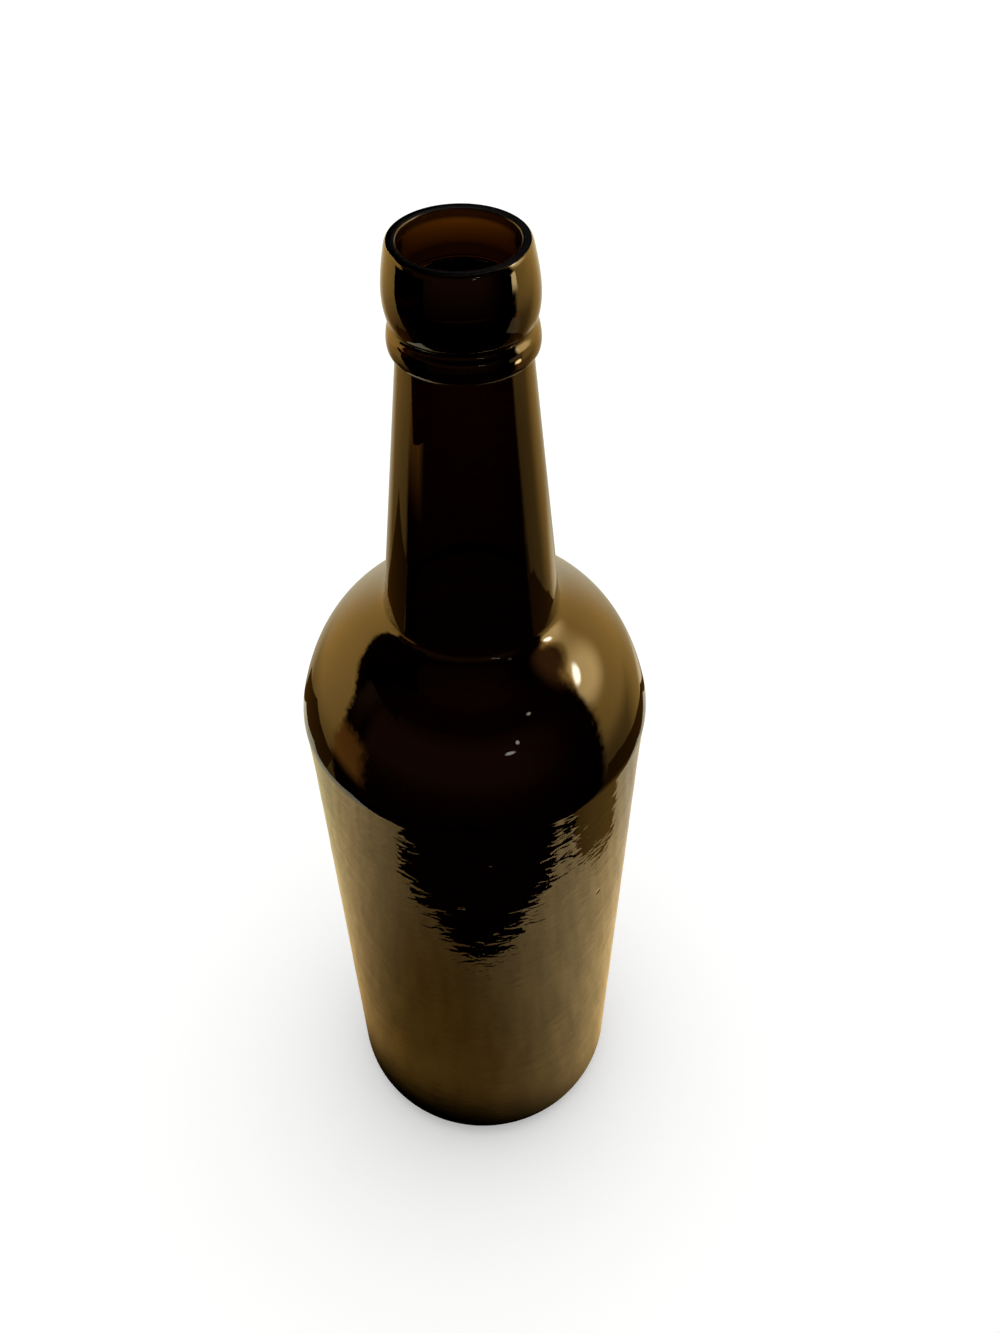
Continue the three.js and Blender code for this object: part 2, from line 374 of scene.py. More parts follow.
# Painted shade: the tint darkens to near black up the neck's end, where the finish laps it
lapped_painted_shade = add(
    tree,
    "MapRange",
    {"Value": height, "From Min": LAPPED_STARTS * MM, "From Max": LAPPED_FULL * MM},
    **SOFT,
)
tint = add(tree, "Mix", {0: lapped_painted_shade, 6: drawn, 7: linear(GLASS_PAINTED_SHADE)}, data_type="RGBA")
haze = add(
    tree,
    "MapRange",
    {
        "Value": cords,
        "From Min": NOISE_LOW,
        "From Max": NOISE_HIGH,
        "To Min": BLOWN_HAZE_LEAST,
        "To Max": BLOWN_HAZE_MOST,
    },
)
glass = add(
    tree,
    "BsdfPrincipled",
    {
        "Base Color": tint,
        "Roughness": haze,
        "Normal": hammered,
        "IOR": GLASS_IOR,
        "Transmission Weight": 1,
    },
)
absorption = add(
    tree,
    "VolumeAbsorption",
    {"Color": linear(GLASS_ABSORBS), "Density": GLASS_DENSITY},
)
add(tree, "OutputMaterial", {"Surface": glass, "Volume": absorption})

body = blown_glass("blown_body_glass", body_shape, blown)
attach(body, "root")
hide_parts("blown_body")

# The applied finish
# A second gather of the same glass, laid hot round the squeezed end of the neck and turned in a
# lipping tool: a collar with a low ridge, a crease, and a barrel-shaped lip with a flat land round
# the mouth. It is fused to the neck, a little off the axis.
FUSED_GAP = 0.02
COLLAR_RADIUS = 13.7
COLLAR_EDGE_ROUND = 0.5
COLLAR_WIDEST = COLLAR_FOOT + 1.7
RIDGE = at(13.45, COLLAR_FOOT + 3.6)
CREASE = at(12.7, COLLAR_FOOT + 5.2)
LIP_FOOT = at(13.15, CREASE.z + 0.9)
LIP_RADIUS = 13.7
LIP_FOOT_ROUND = 1.8
LIP_WIDEST = CREASE.z + 5
LIP_FULLNESS = 3
LIP_TOP = finish_high.z
LIP_TURN = at(12.6, LIP_TOP - 1.3)
LAND_WIDTH = 1
MOUTH_RADIUS = 10.4
MOUTH_ROUND = 0.5
FINISH_DRIFT = 0.42
# How far the outline runs out of each place, or into it, before it bends
OUT_OF_COLLAR = at(0, 0.8)
INTO_RIDGE = at(0.08, -0.6)
OUT_OF_RIDGE = at(-0.1, 0.5)
INTO_CREASE = at(0, -0.55)
OUT_OF_CREASE = at(0, 0.4)
INTO_LIP_FOOT = at(-0.25, -0.2)
OUT_OF_MOUTH = at(0, -2.5)
INTO_BORE = at(0, 3)

lip_widest = at(LIP_RADIUS, LIP_WIDEST)
lip_corner = at(LIP_RADIUS, LIP_WIDEST + LIP_FULLNESS)
lip_lean = (LIP_TURN - lip_corner).normalized()
top_corner = LIP_TURN + lip_lean * ((LIP_TOP - LIP_TURN.z) / lip_lean.z)
land_inner = at(MOUTH_RADIUS + MOUTH_ROUND, LIP_TOP)
land_outer = land_inner + at(LAND_WIDTH, 0)
mouth_edge = at(MOUTH_RADIUS, LIP_TOP - MOUTH_ROUND)
seat_foot = at(NECK_TOP_RADIUS + FUSED_GAP, COLLAR_FOOT)
seat_waist = at(NECK_END_RADIUS + FUSED_GAP, COLLAR_FOOT + NECK_SQUEEZE)
seat_top = at(NECK_END_RADIUS + FUSED_GAP, NECK_END + FUSED_GAP)
bore_foot = at(BORE_RADIUS, seat_top.z)
collar_edge = at(COLLAR_RADIUS - COLLAR_EDGE_ROUND, COLLAR_FOOT)
collar_widest = at(COLLAR_RADIUS, COLLAR_WIDEST)

finish_shape = turned(
    [
        seat_foot,
        collar_edge,
        *round_off(collar_edge, at(COLLAR_RADIUS, COLLAR_FOOT), collar_widest, steps=10),
        *bend(collar_widest, collar_widest + OUT_OF_COLLAR, RIDGE + INTO_RIDGE, RIDGE, steps=8),
        *bend(RIDGE, RIDGE + OUT_OF_RIDGE, CREASE + INTO_CREASE, CREASE, steps=10),
        *bend(CREASE, CREASE + OUT_OF_CREASE, LIP_FOOT + INTO_LIP_FOOT, LIP_FOOT, steps=8),
        *round_off(LIP_FOOT, at(LIP_RADIUS, LIP_FOOT.z + LIP_FOOT_ROUND), lip_widest, steps=16),
        *round_off(lip_widest, lip_corner, LIP_TURN, steps=24),
        *round_off(LIP_TURN, top_corner, land_outer, steps=14),
        *straight(land_outer, land_inner, steps=3),
        *round_off(land_inner, at(MOUTH_RADIUS, LIP_TOP), mouth_edge, steps=6),
        *bend(mouth_edge, mouth_edge + OUT_OF_MOUTH, bore_foot + INTO_BORE, bore_foot, steps=16),
        *straight(bore_foot, seat_top, steps=2),
        *straight(seat_top, seat_waist, steps=4),
        *bend(
            seat_waist,
            at(seat_waist.x, squeeze_middle),
            at(seat_foot.x, squeeze_middle),
            seat_foot,
            steps=5,
        ),
    ]
)
drift = FINISH_DRIFT / (LIP_TOP - COLLAR_FOOT)
lean = Matrix.Identity(4)
lean[0][2] = -drift
lean[0][3] = drift * COLLAR_FOOT
bmesh.ops.transform(finish_shape, matrix=lean, verts=finish_shape.verts)

# The same glass, fire-polished and wiped round by the tool: smooth, with faint level lines that
# show inside the mouth and as slight waves in the highlights. The mouth's rim is dulled by wear,
# and its tint is painted dark as painted shade. Just below it the tint is a brighter amber, as
# painted light, and it darkens downwards as painted shade to where the glass is doubled round the
# neck's end.
TOOL_LINE = 0.9 * MM
TOOL_LINE_STRETCH = 14
TOOL_LINE_DEPTH = 0.006 * MM
TOOLED_HAZE_LEAST = 0.015
TOOLED_HAZE_MOST = 0.05
# A brighter amber tint just inside the mouth, as painted light
MOUTH_AMBER_PAINTED_LIGHT = "#cf9738"
RIM_INSET = 0.1
RIM_REACH = MOUTH_RADIUS + MOUTH_ROUND + LAND_WIDTH - RIM_INSET
RIM_FOOT = LIP_TOP - 1.9
RIM_WEAR = 0.26
AMBER_END = LIP_TOP - 6
RIM_SOFTNESS = 0.5

tooled = new_material("tooled_olive_amber_glass")
tree = tooled.node_tree
place = add(tree, "TexCoord").outputs["Object"]
height = add(tree, "SeparateXYZ", {"Vector": place}).outputs["Z"]
stretched = add(
    tree,
    "Mapping",
    {"Vector": place, "Scale": (1 / TOOL_LINE_STRETCH, 1 / TOOL_LINE_STRETCH, 1)},
)
lines = add(tree, "TexNoise", {"Vector": stretched, "Scale": 1 / TOOL_LINE, "Detail": 2})
wiped = add(tree, "Bump", {"Height": lines, "Strength": 1, "Distance": TOOL_LINE_DEPTH})
wiped_tint = add(
    tree,
    "Mix",
    {0: lines, 6: linear(GLASS_TINT), 7: linear(GLASS_TINT_DEEP)},
    data_type="RGBA",
)
level_place = add(tree, "VectorMath", {0: place, 1: (1, 1, 0)}, operation="MULTIPLY")
from_axis = add(tree, "VectorMath", {0: level_place}, operation="LENGTH")
inside_mouth = add(
    tree,
    "MapRange",
    {
        "Value": from_axis,
        "From Min": (RIM_REACH + RIM_SOFTNESS) * MM,
        "From Max": (RIM_REACH - RIM_SOFTNESS) * MM,
    },
)
at_rim = add(
    tree,
    "MapRange",
    {
        "Value": height,
        "From Min": (RIM_FOOT - RIM_SOFTNESS) * MM,
        "From Max": (RIM_FOOT + RIM_SOFTNESS) * MM,
    },
    **SOFT,
)
# Painted shade: inside the mouth the tint is dark at the rim, and darkens from the amber downwards
painted_shade_downwards = add(
    tree,
    "MapRange",
    {"Value": height, "From Min": RIM_FOOT * MM, "From Max": AMBER_END * MM},
)
amber = add(
    tree,
    "Mix",
    {0: inside_mouth, 6: wiped_tint, 7: linear(MOUTH_AMBER_PAINTED_LIGHT)},
    data_type="RGBA",
)
dark = add(tree, "Math", {0: painted_shade_downwards, 1: at_rim}, operation="MAXIMUM")
painted_shade_inside_mouth = add(tree, "Math", {0: dark, 1: inside_mouth}, operation="MULTIPLY")
tint = add(tree, "Mix", {0: painted_shade_inside_mouth, 6: amber, 7: linear(GLASS_PAINTED_SHADE)}, data_type="RGBA")
haze = add(
    tree,
    "MapRange",
    {
        "Value": lines,
        "From Min": NOISE_LOW,
        "From Max": NOISE_HIGH,
        "To Min": TOOLED_HAZE_LEAST,
        "To Max": TOOLED_HAZE_MOST,
    },
)
worn = add(tree, "Math", {0: at_rim, 1: inside_mouth}, operation="MULTIPLY")
worn_haze = add(tree, "Math", {0: worn, 1: RIM_WEAR, 2: haze}, operation="MULTIPLY_ADD")
glass = add(
    tree,
    "BsdfPrincipled",
    {
        "Base Color": tint,
        "Roughness": worn_haze,
        "Normal": wiped,
        "IOR": GLASS_IOR,
        "Transmission Weight": 1,
    },
)
absorption = add(
    tree,
    "VolumeAbsorption",
    {"Color": linear(GLASS_ABSORBS), "Density": GLASS_DENSITY},
)
add(tree, "OutputMaterial", {"Surface": glass, "Volume": absorption})

finish = blown_glass("applied_finish_glass", finish_shape, tooled)
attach(finish, "root")
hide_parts("applied_finish")

# The floor
# A plain white board that the bottle stands on, which keeps the soft shadow at the bottle's foot.
# Its front edge lies just below the picture. The glass does not mirror it: the cloth and the walls
# take its place there.
FLOOR_FRONT = -0.1
FLOOR_REACH = 3
FLOOR_WHITE = "#fbfbfa"
FLOOR_LIFT = 0.14


def card(name, corners, level, material):
    """A flat stage piece with its corners at one level, facing up."""
    shape = bmesh.new()
    shape.faces.new([shape.verts.new((*corner, level)) for corner in corners])
    piece = placed(name, shape, material)
    return piece


board = new_material("white_board")
tree = board.node_tree
paint = add(tree, "BsdfDiffuse", {"Color": linear(FLOOR_WHITE)})
seen = add(tree, "LightPath").outputs["Is Camera Ray"]
lift = add(tree, "Math", {0: seen, 1: FLOOR_LIFT}, operation="MULTIPLY")
white = add(tree, "Emission", {"Color": linear(FLOOR_WHITE), "Strength": lift})
lifted = add(tree, "AddShader", {0: paint, 1: white})
add(tree, "OutputMaterial", {"Surface": lifted})
board.cycles.emission_sampling = "NONE"
floor = card(
    "floor",
    [
        (-FLOOR_REACH, FLOOR_FRONT),
        (FLOOR_REACH, FLOOR_FRONT),
        (FLOOR_REACH, FLOOR_REACH),
        (-FLOOR_REACH, FLOOR_REACH),
    ],
    0,
    board,
)
floor.visible_glossy = False
floor.visible_transmission = False

# The cloth and the table
# A dark glass shows mostly what it mirrors. Only the glass sees these: a warm pale cloth under the
# bottle, shaded on the left in front and close to the foot, and a brown table beyond it. Its front
# edge makes the side's dark tongue, and its other edges the olive patch and the dark ring.
CLOTH_LEVEL = 0.0003
CLOTH_SUN = "#ffd893"
CLOTH_SHADE = "#8f692c"
CLOTH_BACK_LEFT = "#decb93"
CLOTH_BACK_RIGHT = "#d9c6a3"
CLOTH_FAR = "#f3e9c8"
SHADE_CENTRE = (-0.030, -0.055, 0)
FOOT_SHADE_CENTRE = (-0.004, -0.010, 0)
# Where each change of the cloth's colour starts and where it ends, in metres
SHADE_REACH = (0.02, 0.135)
LEFT_TO_RIGHT = (-0.06, 0.06)
FRONT_TO_BACK = (0, 0.09)
NEAR_TO_FAR = (0.13, 0.19)
FOOT_SHADE_REACH = (0.032, 0.046)
WEAVE_SIZE = 0.012
WEAVE_DEPTH = 0.9
CLOTH_EDGE = [
    (-0.235, -0.060),
    (-0.105, -0.084),
    (-0.055, -0.100),
    (0.055, -0.100),
    (0.105, -0.084),
    (0.118, -0.060),
    (0.121, 0.020),
    (0.207, 0.082),
    (0.160, 0.152),
    (-0.158, 0.152),
    (-0.222, 0.093),
]
TABLE_LEVEL = 0.0002
TABLE_DARK = "#54350b"
TABLE_LIT = "#906c31"
TABLE_LIT_PLACE = (0.14, -0.01, 0)
TABLE_LIT_EDGE = 0.09
TABLE_LIT_CORE = 0.02
TABLE_EDGE = [
    (-0.335, 0.000),
    (-0.160, 0.055),
    (0, 0.055),
    (0.100, -0.060),
    (0.330, -0.060),
    (0.330, -0.010),
    (0.300, 0.050),
    (0.250, 0.120),
    (0.190, 0.165),
    (-0.120, 0.165),
    (-0.170, 0.200),
    (-0.335, 0.165),
]


def only_for_gloss(piece):
    """The glass mirrors the piece or shows it, and nothing else sees it."""
    piece.visible_camera = False
    piece.visible_diffuse = False
    piece.visible_shadow = False
    piece.visible_volume_scatter = False


cloth = new_material("warm_cloth")
tree = cloth.node_tree
place = add(tree, "TexCoord").outputs["Object"]
across = add(tree, "SeparateXYZ", {"Vector": place}).outputs
from_shade = add(tree, "VectorMath", {0: place, 1: SHADE_CENTRE}, operation="DISTANCE")
from_axis = add(tree, "VectorMath", {0: place}, operation="LENGTH")
from_foot = add(tree, "VectorMath", {0: place, 1: FOOT_SHADE_CENTRE}, operation="DISTANCE")
lit, to_right, to_back, far, clear_of_foot = (
    add(tree, "MapRange", {"Value": where, "From Min": start, "From Max": end}, **SOFT)
    for where, (start, end) in (
        (from_shade, SHADE_REACH),
        (across["X"], LEFT_TO_RIGHT),
        (across["Y"], FRONT_TO_BACK),
        (from_axis, NEAR_TO_FAR),
        (from_foot, FOOT_SHADE_REACH),
    )
)
# Painted shade in front on the left, where the bottle's shadow falls, and painted sunlight
# elsewhere
front = add(tree, "Mix", {0: lit, 6: linear(CLOTH_SHADE), 7: linear(CLOTH_SUN)}, data_type="RGBA")
back = add(
    tree,
    "Mix",
    {0: to_right, 6: linear(CLOTH_BACK_LEFT), 7: linear(CLOTH_BACK_RIGHT)},
    data_type="RGBA",
)
near = add(tree, "Mix", {0: to_back, 6: front, 7: back}, data_type="RGBA")
cloth_colour_with_painted_light_and_shade = add(tree, "Mix", {0: far, 6: near, 7: linear(CLOTH_FAR)}, data_type="RGBA")
weave = add(
    tree,
    "TexNoise",
    {"Vector": place, "Scale": 1 / WEAVE_SIZE, "Detail": 3, "Roughness": 0.6},
)
mottle = add(
    tree,
    "Math",
    {0: weave, 1: WEAVE_DEPTH, 2: 1 - WEAVE_DEPTH / 2},
    operation="MULTIPLY_ADD",
)
level_light = add(tree, "Math", {0: mottle, 1: clear_of_foot}, operation="MULTIPLY")
glow = add(tree, "Emission", {"Color": cloth_colour_with_painted_light_and_shade, "Strength": level_light})
add(tree, "OutputMaterial", {"Surface": glow})
cloth.cycles.emission_sampling = "NONE"
only_for_gloss(card("cloth", CLOTH_EDGE, CLOTH_LEVEL, cloth))

table = new_material("brown_table")
tree = table.node_tree
place = add(tree, "TexCoord").outputs["Object"]
# A painted pool of light: the brown table is lighter round TABLE_LIT_PLACE
from_lit = add(tree, "VectorMath", {0: place, 1: TABLE_LIT_PLACE}, operation="DISTANCE")
near_lit = add(
    tree,
    "MapRange",
    {"Value": from_lit, "From Min": TABLE_LIT_EDGE, "From Max": TABLE_LIT_CORE},
    **SOFT,
)
table_colour_with_painted_light = add(
    tree,
    "Mix",
    {0: near_lit, 6: linear(TABLE_DARK), 7: linear(TABLE_LIT)},
    data_type="RGBA",
)
glow = add(tree, "Emission", {"Color": table_colour_with_painted_light})
add(tree, "OutputMaterial", {"Surface": glow})
table.cycles.emission_sampling = "NONE"
only_for_gloss(card("table", TABLE_EDGE, TABLE_LEVEL, table))

# The walls
# What the glass mirrors above the table: golden walls to the sides and a pale one behind, a window
# on the right with a glow round it, a few far lamps, and brown darkness towards the camera. Each
# place is given by degrees along from straight behind, to the right, and up.
ROOM_RADIUS = 3
ROOM_CENTRE = 0.2
WALL_PALE = "#fff1cd"
WALL_GOLD = "#ffc666"
PATCH_ORANGE = "#e1933c"
PANEL_OLIVE = "#5c4428"
WALL_BROWN = "#d58e4c"
WALL_BROWN_BRIGHTNESS = 0.8
LIGHT_PLACE_BRIGHTNESS = 0.6
FRONT_BROWN = "#59361c"
CEILING_BROWN = "#35200e"
WINDOW_WHITE = "#fffbe8"
WINDOW_GLOW = "#ffdd97"
WINDOW_BRIGHTNESS = 21
GLOW_BRIGHTNESS = 4.6
GLOW_CORNER_SLOPE = 0.556
LAMP_BRIGHTNESS = 4.5
LEFT_LOW = 0.34
RIGHT_LOW = 0.42
LEFT_SLOPE = 0.73
# One place on the sloping top edge, along and up
LEFT_TOP_AT = (-68, 23)
LEFT_TOP = LEFT_TOP_AT[1] - LEFT_TOP_AT[0] * LEFT_SLOPE
LEFT_TOP_SOFTNESS = 3
LOW_LEFT_STEP = 5
BACK_RISE = 38
FOLDS_PER_RADIUS = 13
TORN_EDGES = 12
LOWEST = -90
HIGHEST = 90
# Brightness of the golden walls by degrees up
WALL_LEVELS = [
    (-90, 0.10),
    (-48, 0.30),
    (-41, 0.50),
    (-35, 0.70),
    (-25, 1.00),
    (-13, 1.60),
    (-1, 2.12),
    (11, 2.50),
    (24, 2.70),
]
# Brightness of the dark front of the room by degrees up
FRONT_LEVELS = [
    (-90, 0.00),
    (-24, 0.05),
    (-14, 0.30),
    (-5, 0.90),
    (14, 1.00),
    (22, 0.60),
    (30, 0.05),
    (42, 0.05),
    (52, 0.35),
    (60, 0.35),
]


def by_height(levels):
    """A brightness that follows a list of levels by degrees up."""
    brightest = max(level for degrees, level in levels)
    share_up = add(tree, "MapRange", {"Value": up, "From Min": LOWEST, "From Max": HIGHEST})
    node = add(tree, "ValToRGB", {"Fac": share_up})
    stops = node.color_ramp.elements
    stops.remove(stops[-1])
    for degrees, level in levels:
        position = (degrees - LOWEST) / (HIGHEST - LOWEST)
        stop = stops.new(position) if position else stops[0]
        stop.color = (level / brightest, level / brightest, level / brightest, 1)
    return add(tree, "Math", {0: node, 1: brightest}, operation="MULTIPLY")


def spot(middle, half_size, edge, core, turn=0):
    """One within an oval of directions, falling to nought from its core to its edge."""
    moved = add(
        tree,
        "Mapping",
        {
            "Vector": bearing,
            "Location": (*middle, 0),
            "Rotation": (0, 0, math.radians(turn)),
            "Scale": (*half_size, 1),
        },
        vector_type="TEXTURE",
    )
    from_middle = add(tree, "VectorMath", {0: moved}, operation="LENGTH")
    return add(tree, "MapRange", {"Value": from_middle, "From Min": edge, "From Max": core}, **SOFT)


walls = new_material("studio_walls")
tree = walls.node_tree
place = add(tree, "TexCoord").outputs["Object"]
way = add(tree, "VectorMath", {0: place}, operation="NORMALIZE")
split = add(tree, "SeparateXYZ", {"Vector": way}).outputs
turn_angle = add(tree, "Math", {0: split["X"], 1: split["Y"]}, operation="ARCTAN2")
rise_angle = add(tree, "Math", {0: split["Z"]}, operation="ARCSINE")
along = add(tree, "Math", {0: turn_angle}, operation="DEGREES")
up = add(tree, "Math", {0: rise_angle}, operation="DEGREES")
away = add(tree, "Math", {0: along}, operation="ABSOLUTE")
bearing = add(tree, "CombineXYZ", {"X": along, "Y": up})
folds = add(
    tree,
    "TexNoise",
    {"Vector": way, "Scale": FOLDS_PER_RADIUS, "Detail": 4, "Roughness": 0.7},
)
wander = add(tree, "Math", {0: folds, 1: TORN_EDGES, 2: -TORN_EDGES / 2}, operation="MULTIPLY_ADD")
torn = add(tree, "Math", {0: along, 1: wander}, operation="ADD")
torn_up = add(tree, "Math", {0: up, 1: wander}, operation="ADD")

# The edges in the room, each by the angle that it follows, and the degrees where it starts to show
# and where it shows in full
edges = {
    name: add(tree, "MapRange", {"Value": angle, "From Min": start, "From Max": full}, **SOFT)
    for name, angle, start, full in (
        ("right half", along, -10, 10),
        ("to the side", away, 8, 50),
        ("wall pale to gold", away, 12, 52),
        ("wall low on the left", up, -12, -24),
        ("wall clear of the left", along, -60, -30),
        ("wall clear of the right", along, 92, 50),
        ("wall right end", torn, 103, 95),
        ("wall right top", up, 46, 28),
        ("patch top", torn_up, -6, -13),
        ("patch foot", up, -31, -24),
        ("patch end", torn, -114, -104),
        ("glow top", up, 34, 31),
        ("glow end", along, 102, 98),
        ("front left", along, -104, -114),
        ("front right", along, 112, 158),
        ("ceiling", up, 62, 70),
    )
}

# The golden walls end about straight left, and low down a step sooner. Their top edge slopes down
# to the left and dips straight behind. The glow's upper corner is cut off aslant.
left_end = add(
    tree,
    "Math",
    {0: edges["wall low on the left"], 1: -LOW_LEFT_STEP, 2: torn},
    operation="MULTIPLY_ADD",
)
left_line = add(tree, "Math", {0: along, 1: -LEFT_SLOPE, 2: torn_up}, operation="MULTIPLY_ADD")
back_line = add(
    tree,
    "Math",
    {0: edges["to the side"], 1: -BACK_RISE, 2: torn_up},
    operation="MULTIPLY_ADD",
)
corner_line = add(tree, "Math", {0: up, 1: GLOW_CORNER_SLOPE, 2: along}, operation="MULTIPLY_ADD")
edges |= {
    name: add(tree, "MapRange", {"Value": line, "From Min": start, "From Max": full}, **SOFT)
    for name, line, start, full in (
        ("wall left end", left_end, -92, -87),
        ("beyond the left end", left_end, -87, -92),
        ("wall left slope", left_line, LEFT_TOP + LEFT_TOP_SOFTNESS, LEFT_TOP - LEFT_TOP_SOFTNESS),
        ("wall back top", back_line, 1, -5),
        ("glow corner", corner_line, 112, 108.5),
    )
}
left_top = add(
    tree,
    "Math",
    {0: edges["wall left slope"], 1: edges["right half"]},
    operation="MAXIMUM",
)

# Low down the golden walls are darker at both sides
low_shares = []
for start, full, least, clear in (
    (-40, -18, LEFT_LOW, "wall clear of the left"),
    (-28, -14, RIGHT_LOW, "wall clear of the right"),
):
    risen = add(
        tree,
        "MapRange",
        {"Value": up, "From Min": start, "From Max": full, "To Min": least, "To Max": 1},
        **SOFT,
    )
    low_shares.append(add(tree, "Math", {0: risen, 1: edges[clear]}, operation="MAXIMUM"))
wall_colour = add(
    tree,
    "Mix",
    {0: edges["wall pale to gold"], 6: linear(WALL_PALE), 7: linear(WALL_GOLD)},
    data_type="RGBA",
)
wall_shares = [
    edges["wall left end"],
    edges["wall right end"],
    left_top,
    edges["wall back top"],
    edges["wall right top"],
    *low_shares,
]

# A dim panel beyond the left end, a brown wall above the right end, and a light place low behind
dim_panel = spot(middle=(-96, 24), half_size=(16, 36), edge=1, core=0)
brown_wall = spot(middle=(93, 44), half_size=(22, 26), edge=1, core=0.2)
light_place = spot(middle=(38, -40), half_size=(22, 6), edge=1, core=0.2)

# The window, the glow round it, the far lamps and the dark front
window = spot(middle=(90.4, 24.6), half_size=(4, 8.2), edge=1.1, core=0.4, turn=56)
glow = spot(middle=(88, 19), half_size=(26, 21), edge=1.05, core=0.35)
far_lamps = [
    spot(middle=(159, 12), half_size=(4, 1.4), edge=1, core=0.5),
    spot(middle=(138, 34), half_size=(2, 1.2), edge=1, core=0.5),
    spot(middle=(153, 18), half_size=(1.5, 2), edge=1, core=0.5),
]
front = add(
    tree,
    "Math",
    {0: edges["front left"], 1: edges["front right"]},
    operation="MAXIMUM",
)
glow_shares = [glow, edges["glow top"], edges["glow end"], edges["glow corner"]]
patch_shares = [edges["patch top"], edges["patch foot"], edges["patch end"]]
beyond_left = edges["beyond the left end"]

lights = [
    (wall_colour, [by_height(WALL_LEVELS), *wall_shares]),
    (linear(PATCH_ORANGE), [*patch_shares, beyond_left]),
    (linear(PANEL_OLIVE), [dim_panel, beyond_left]),
    (linear(WALL_BROWN), [WALL_BROWN_BRIGHTNESS, brown_wall]),
    (linear(WALL_PALE), [LIGHT_PLACE_BRIGHTNESS, light_place]),
    (linear(WINDOW_WHITE), [WINDOW_BRIGHTNESS, window]),
    (linear(WINDOW_GLOW), [GLOW_BRIGHTNESS, *glow_shares]),
    *((linear(WINDOW_WHITE), [LAMP_BRIGHTNESS, lamp]) for lamp in far_lamps),
    (linear(FRONT_BROWN), [by_height(FRONT_LEVELS), front]),
    (linear(CEILING_BROWN), [edges["ceiling"]]),
]
total = add(tree, "Emission", {"Color": (0, 0, 0, 1)})
for colour, shares in lights:
    strength = shares[0]
    for share in shares[1:]:
        strength = add(tree, "Math", {0: strength, 1: share}, operation="MULTIPLY")
    light = add(tree, "Emission", {"Color": colour, "Strength": strength})
    total = add(tree, "AddShader", {0: total, 1: light})
add(tree, "OutputMaterial", {"Surface": total})
walls.cycles.emission_sampling = "NONE"

room_shape = bmesh.new()
bmesh.ops.create_icosphere(room_shape, subdivisions=5, radius=ROOM_RADIUS)
room = placed("studio_walls", room_shape, walls)
room.location = (0, 0, ROOM_CENTRE)
only_for_gloss(room)

# The flag and the small lamps
# A small black flag beside the lip keeps the left wall out of it above the crease. Opposite, two
# small level lamps, lit on top only, put the highlights on the lip and on the collar. A dim gold
# screen above the collar's lamp hides that lamp from the lip.
FLAG_AT = -0.070
FLAG_EDGE = [(-0.060, 0.215), (-0.012, 0.215), (0.009, 0.252), (0.009, 0.272), (-0.060, 0.272)]
LIP_LAMP_LEVEL = 0.262
LIP_LAMP_EDGE = [(0.060, -0.024), (0.130, -0.037), (0.130, -0.019), (0.060, -0.013)]
LIP_LAMP_FADE = (0.060, 0.086)
LIP_LAMP_BRIGHTNESS = 7
COLLAR_LAMP_LEVEL = 0.256
COLLAR_LAMP_EDGE = [(0.026, -0.0155), (0.036, -0.0175), (0.036, -0.0115), (0.026, -0.0110)]
COLLAR_LAMP_FADE = (0.025, 0.028)
COLLAR_LAMP_BRIGHTNESS = 14
SCREEN_LEVEL = 0.2615
SCREEN_EDGE = [(0.018, -0.0165), (0.031, -0.0180), (0.031, -0.0095), (0.018, -0.0095)]
SCREEN_FADE = (0.016, 0.017)
SCREEN_BRIGHTNESS = 0.45

black = new_material("black_flag")
tree = black.node_tree
unlit = add(tree, "Emission", {"Color": (0, 0, 0, 1), "Strength": 0})
add(tree, "OutputMaterial", {"Surface": unlit})
flag = card("flag", [(up_by, along_by) for along_by, up_by in FLAG_EDGE], 0, black)
flag.data.transform(Matrix(((0, 0, 1, FLAG_AT), (0, 1, 0, 0), (1, 0, 0, 0), (0, 0, 0, 1))))
only_for_gloss(flag)
flag.visible_transmission = False

for name, edge, level, (clear_end, full_end), brightness in (
    ("lip_lamp", LIP_LAMP_EDGE, LIP_LAMP_LEVEL, LIP_LAMP_FADE, LIP_LAMP_BRIGHTNESS),
    ("collar_lamp", COLLAR_LAMP_EDGE, COLLAR_LAMP_LEVEL, COLLAR_LAMP_FADE, COLLAR_LAMP_BRIGHTNESS),
    ("collar_screen", SCREEN_EDGE, SCREEN_LEVEL, SCREEN_FADE, SCREEN_BRIGHTNESS),
):
    pale = new_material(name)
    tree = pale.node_tree
    underneath = add(tree, "NewGeometry").outputs["Backfacing"]
    place = add(tree, "TexCoord").outputs["Object"]
    out = add(tree, "SeparateXYZ", {"Vector": place}).outputs["X"]
    faded = add(
        tree,
        "MapRange",
        {"Value": out, "From Min": full_end, "From Max": clear_end},
        **SOFT,
    )
    clear_share = add(tree, "Math", {0: underneath, 1: faded}, operation="MAXIMUM")
    glow = add(tree, "Emission", {"Color": linear(WINDOW_GLOW), "Strength": brightness})
    clear = add(tree, "BsdfTransparent")
    lit_on_top = add(tree, "MixShader", {0: clear_share, 1: glow, 2: clear})
    add(tree, "OutputMaterial", {"Surface": lit_on_top})
    pale.cycles.emission_sampling = "NONE"
    small_lamp = card(name, edge, level, pale)
    only_for_gloss(small_lamp)
    small_lamp.visible_transmission = False

# The light
# One wide soft lamp overhead, which the glass does not mirror, and an even white surround that
# fills the shadow. The surround is white to the camera, in reflections and through the glass alike.
LAMP_WIDTH = 3
LAMP_PLACE = (0.5, 0.6, 2.6)
LAMP_POWER = 18
SURROUND_FILL = 0.84

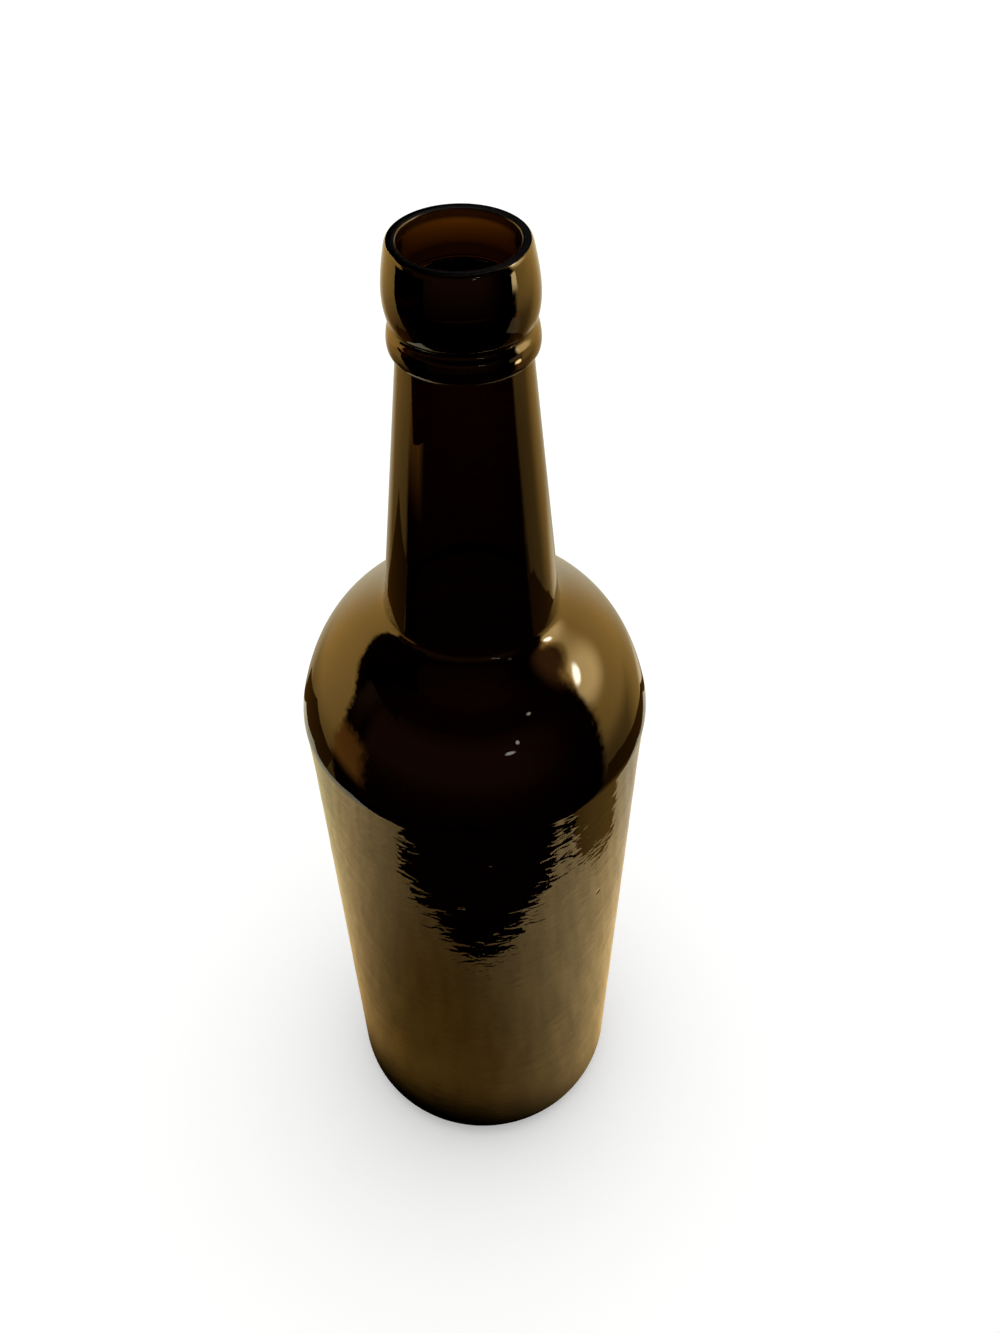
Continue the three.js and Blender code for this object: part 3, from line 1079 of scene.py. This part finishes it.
lamp_data = bpy.data.lights.new("soft_lamp", "AREA")
lamp_data.shape = "SQUARE"
lamp_data.size = LAMP_WIDTH
lamp_data.energy = LAMP_POWER
lamp = bpy.data.objects.new("soft_lamp", lamp_data)
lamp.location = LAMP_PLACE
lamp.rotation_mode = "QUATERNION"
lamp.rotation_quaternion = Vector(LAMP_PLACE).to_track_quat("Z", "Y")
lamp.visible_glossy = False
bpy.context.scene.collection.objects.link(lamp)

world = bpy.data.worlds.new("white_surround")
world.use_nodes = True
tree = world.node_tree
tree.nodes.clear()
rays = add(tree, "LightPath").outputs
seen = add(
    tree,
    "Math",
    {0: rays["Is Camera Ray"], 1: rays["Is Glossy Ray"]},
    operation="MAXIMUM",
)
seen = add(tree, "Math", {0: seen, 1: rays["Is Transmission Ray"]}, operation="MAXIMUM")
strength = add(tree, "Math", {0: seen, 1: SURROUND_FILL}, operation="MAXIMUM")
surround = add(tree, "Background", {"Color": (1, 1, 1, 1), "Strength": strength})
add(tree, "OutputWorld", {"Surface": surround})
bpy.context.scene.world = world

# The camera
# It looks steeply down on the bottle from straight in front and close by, so the mouth shows open
# and the side narrows towards the foot. It is turned a little to the right and barely tilted.
CAMERA_PLACE = Vector((0, -0.18183, 0.37560))
PITCH = math.radians(47.533)
YAW = math.radians(1.867)
ROLL = math.radians(-0.366)
FRAME_HEIGHT = 1333
FOCAL_PIXELS = 1176.8
SENSOR = 36
NEAREST_SEEN = 0.01

level_reach = math.cos(PITCH)
forward = Vector((math.sin(YAW) * level_reach, math.cos(YAW) * level_reach, -math.sin(PITCH)))
level = Vector((math.cos(YAW), -math.sin(YAW), 0))
upright = level.cross(forward)
right = level * math.cos(ROLL) + upright * math.sin(ROLL)
top = upright * math.cos(ROLL) - level * math.sin(ROLL)
turned_to_view = Matrix((right, top, -forward)).transposed().to_4x4()
camera_data = bpy.data.cameras.new("camera")
camera_data.sensor_width = SENSOR
camera_data.lens = FOCAL_PIXELS * SENSOR / FRAME_HEIGHT
camera_data.clip_start = NEAREST_SEEN
camera = bpy.data.objects.new("camera", camera_data)
camera.matrix_world = Matrix.Translation(CAMERA_PLACE) @ turned_to_view
bpy.context.scene.collection.objects.link(camera)
bpy.context.scene.camera = camera
bpy.context.scene.view_settings.view_transform = "Standard"
